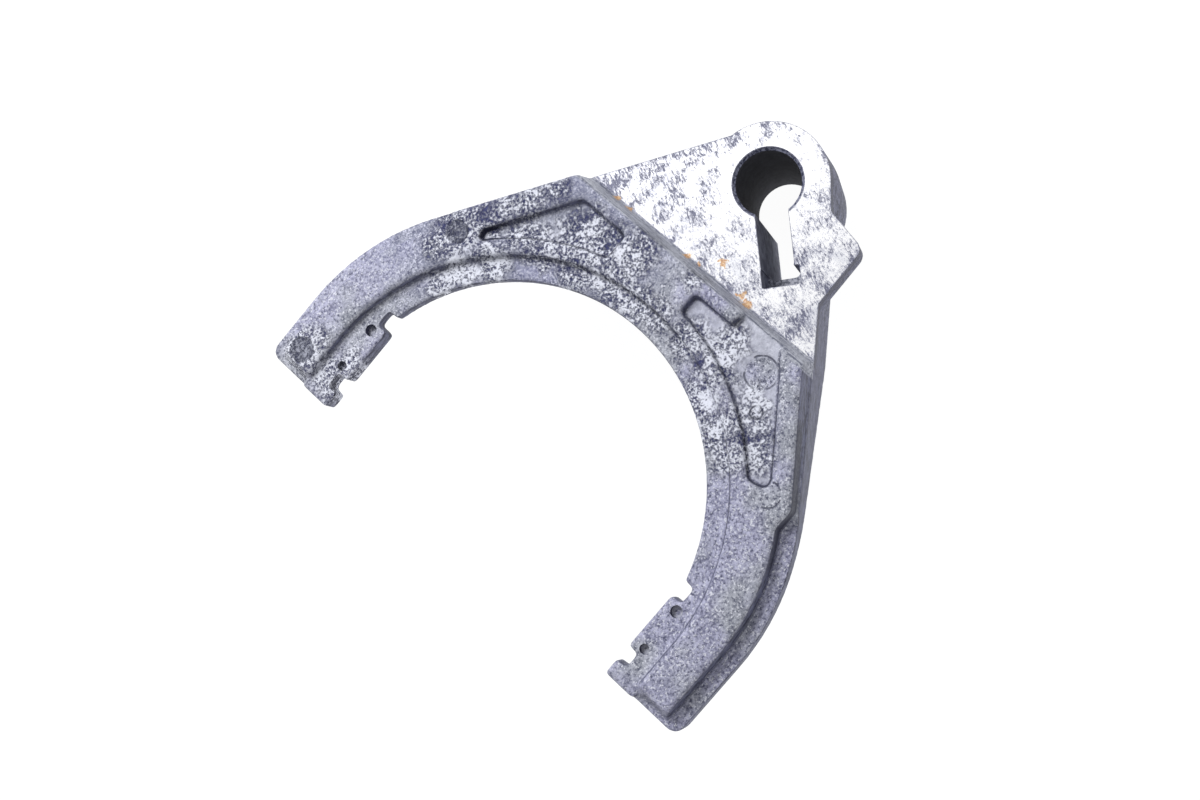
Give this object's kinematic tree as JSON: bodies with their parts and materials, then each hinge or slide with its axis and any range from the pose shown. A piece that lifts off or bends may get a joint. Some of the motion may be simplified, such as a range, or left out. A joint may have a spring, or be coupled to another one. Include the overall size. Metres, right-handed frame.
{
  "type": "shift fork",
  "caption": "Cast shift fork: rail hub with keyed bore, stop lobe, two curved arms round a half-round throat, notched pad seats.",
  "frame": {"origin": "centre of the rail bore at the milled hub face", "axes": "+Z along the rail bore, out of the milled face; +X towards the two legs; +Y towards the leg on the side of the stop lobe"},
  "size_m": [0.2213, 0.2446, 0.0765],
  "materials": {
    "fork_body": "weathered casting with milled faces"
  },
  "bodies": {
    "root": {"fork_body": "fork_body"}
  },
  "joints": []
}
